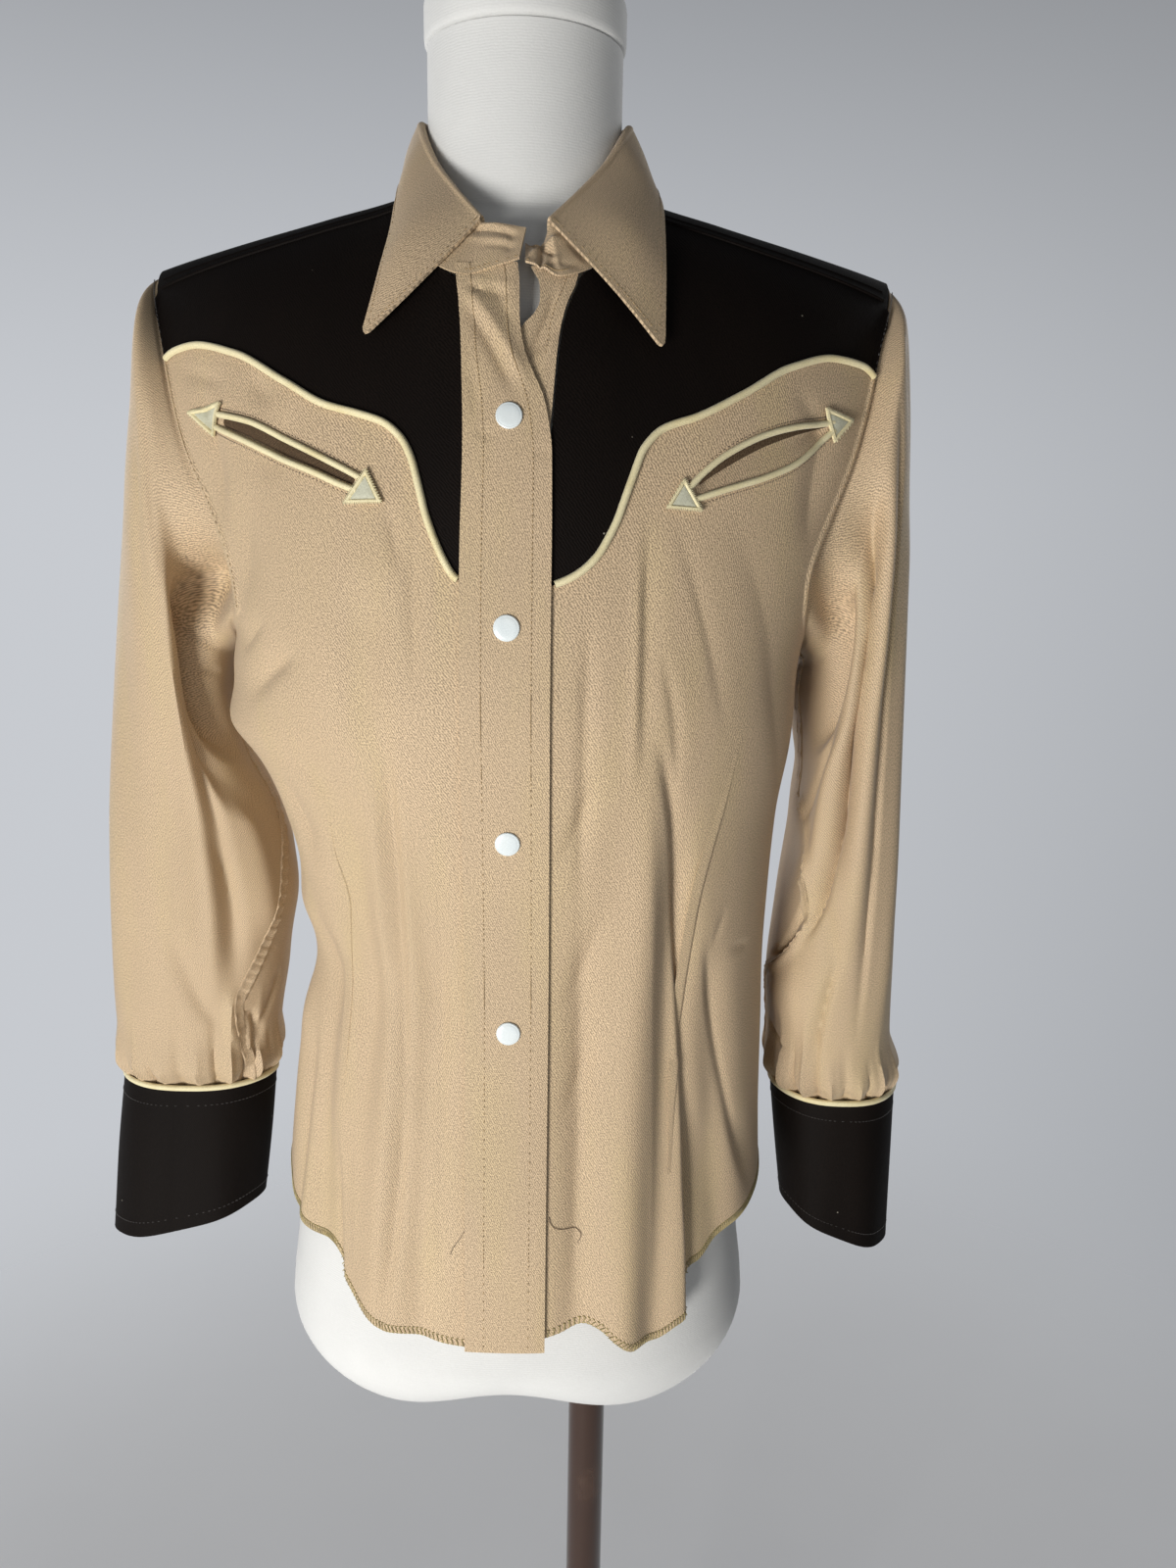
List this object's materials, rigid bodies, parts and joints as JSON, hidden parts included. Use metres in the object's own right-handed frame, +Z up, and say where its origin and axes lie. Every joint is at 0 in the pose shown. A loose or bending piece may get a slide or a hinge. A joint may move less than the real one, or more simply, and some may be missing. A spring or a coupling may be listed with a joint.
{
  "type": "western snap shirt on a limbless dress form",
  "caption": "Long-sleeved western shirt with contrast yokes and cuffs, piped smile pockets and a snapped placket, worn by a limbless dress form on a pole and round base.",
  "frame": {"origin": "on the floor, under the middle of the round base, on the pole's axis", "axes": "+Z up along the pole; the shirt's front faces -Y; +X towards the wearer's left"},
  "size_m": [0.4963, 0.33, 1.331],
  "materials": {
    "back_panel": "matt fine-twill gabardine, tan",
    "back_piping": "satin piping, cream",
    "back_yoke": "matt fine-twill gabardine, dark brown",
    "base": "glossy dark brown",
    "collar_fall": "matt fine-twill gabardine, tan",
    "collar_stand": "matt fine-twill gabardine, tan",
    "cuff_left": "matt fine-twill gabardine, dark brown",
    "cuff_piping_left": "satin piping, cream",
    "cuff_piping_right": "satin piping, cream",
    "cuff_right": "matt fine-twill gabardine, dark brown",
    "cuff_snap_left_1": "pearl white, glossy",
    "cuff_snap_left_2": "pearl white, glossy",
    "cuff_snap_right_1": "pearl white, glossy",
    "cuff_snap_right_2": "pearl white, glossy",
    "form_neck_cap": "off-white jersey cover",
    "form_torso": "off-white jersey cover",
    "front_left": "matt fine-twill gabardine, tan",
    "front_left_piping": "satin piping, cream",
    "front_left_yoke": "matt fine-twill gabardine, dark brown",
    "front_right": "matt fine-twill gabardine, tan",
    "front_right_piping": "satin piping, cream",
    "front_right_yoke": "matt fine-twill gabardine, dark brown",
    "placket": "matt fine-twill gabardine, tan",
    "pole": "glossy dark brown",
    "sleeve_left": "matt fine-twill gabardine, tan",
    "sleeve_right": "matt fine-twill gabardine, tan",
    "snap_1": "pearl white, glossy",
    "snap_2": "pearl white, glossy",
    "snap_3": "pearl white, glossy",
    "snap_4": "pearl white, glossy",
    "tab_left_centre": "satin piping, cream",
    "tab_left_side": "satin piping, cream",
    "tab_right_centre": "satin piping, cream",
    "tab_right_side": "satin piping, cream",
    "under_placket": "matt fine-twill gabardine, tan",
    "welt_left_lower": "satin piping, cream",
    "welt_left_upper": "satin piping, cream",
    "welt_right_lower": "satin piping, cream",
    "welt_right_upper": "satin piping, cream"
  },
  "bodies": {
    "root": {"back_panel": "back_panel", "back_piping": "back_piping", "back_yoke": "back_yoke", "base": "base", "collar_fall": "collar_fall", "collar_stand": "collar_stand", "cuff_left": "cuff_left", "cuff_piping_left": "cuff_piping_left", "cuff_piping_right": "cuff_piping_right", "cuff_right": "cuff_right", "cuff_snap_left_1": "cuff_snap_left_1", "cuff_snap_left_2": "cuff_snap_left_2", "cuff_snap_right_1": "cuff_snap_right_1", "cuff_snap_right_2": "cuff_snap_right_2", "form_neck_cap": "form_neck_cap", "form_torso": "form_torso", "front_left": "front_left", "front_left_piping": "front_left_piping", "front_left_yoke": "front_left_yoke", "front_right": "front_right", "front_right_piping": "front_right_piping", "front_right_yoke": "front_right_yoke", "placket": "placket", "pole": "pole", "sleeve_left": "sleeve_left", "sleeve_right": "sleeve_right", "snap_1": "snap_1", "snap_2": "snap_2", "snap_3": "snap_3", "snap_4": "snap_4", "tab_left_centre": "tab_left_centre", "tab_left_side": "tab_left_side", "tab_right_centre": "tab_right_centre", "tab_right_side": "tab_right_side", "under_placket": "under_placket", "welt_left_lower": "welt_left_lower", "welt_left_upper": "welt_left_upper", "welt_right_lower": "welt_right_lower", "welt_right_upper": "welt_right_upper"}
  },
  "joints": []
}
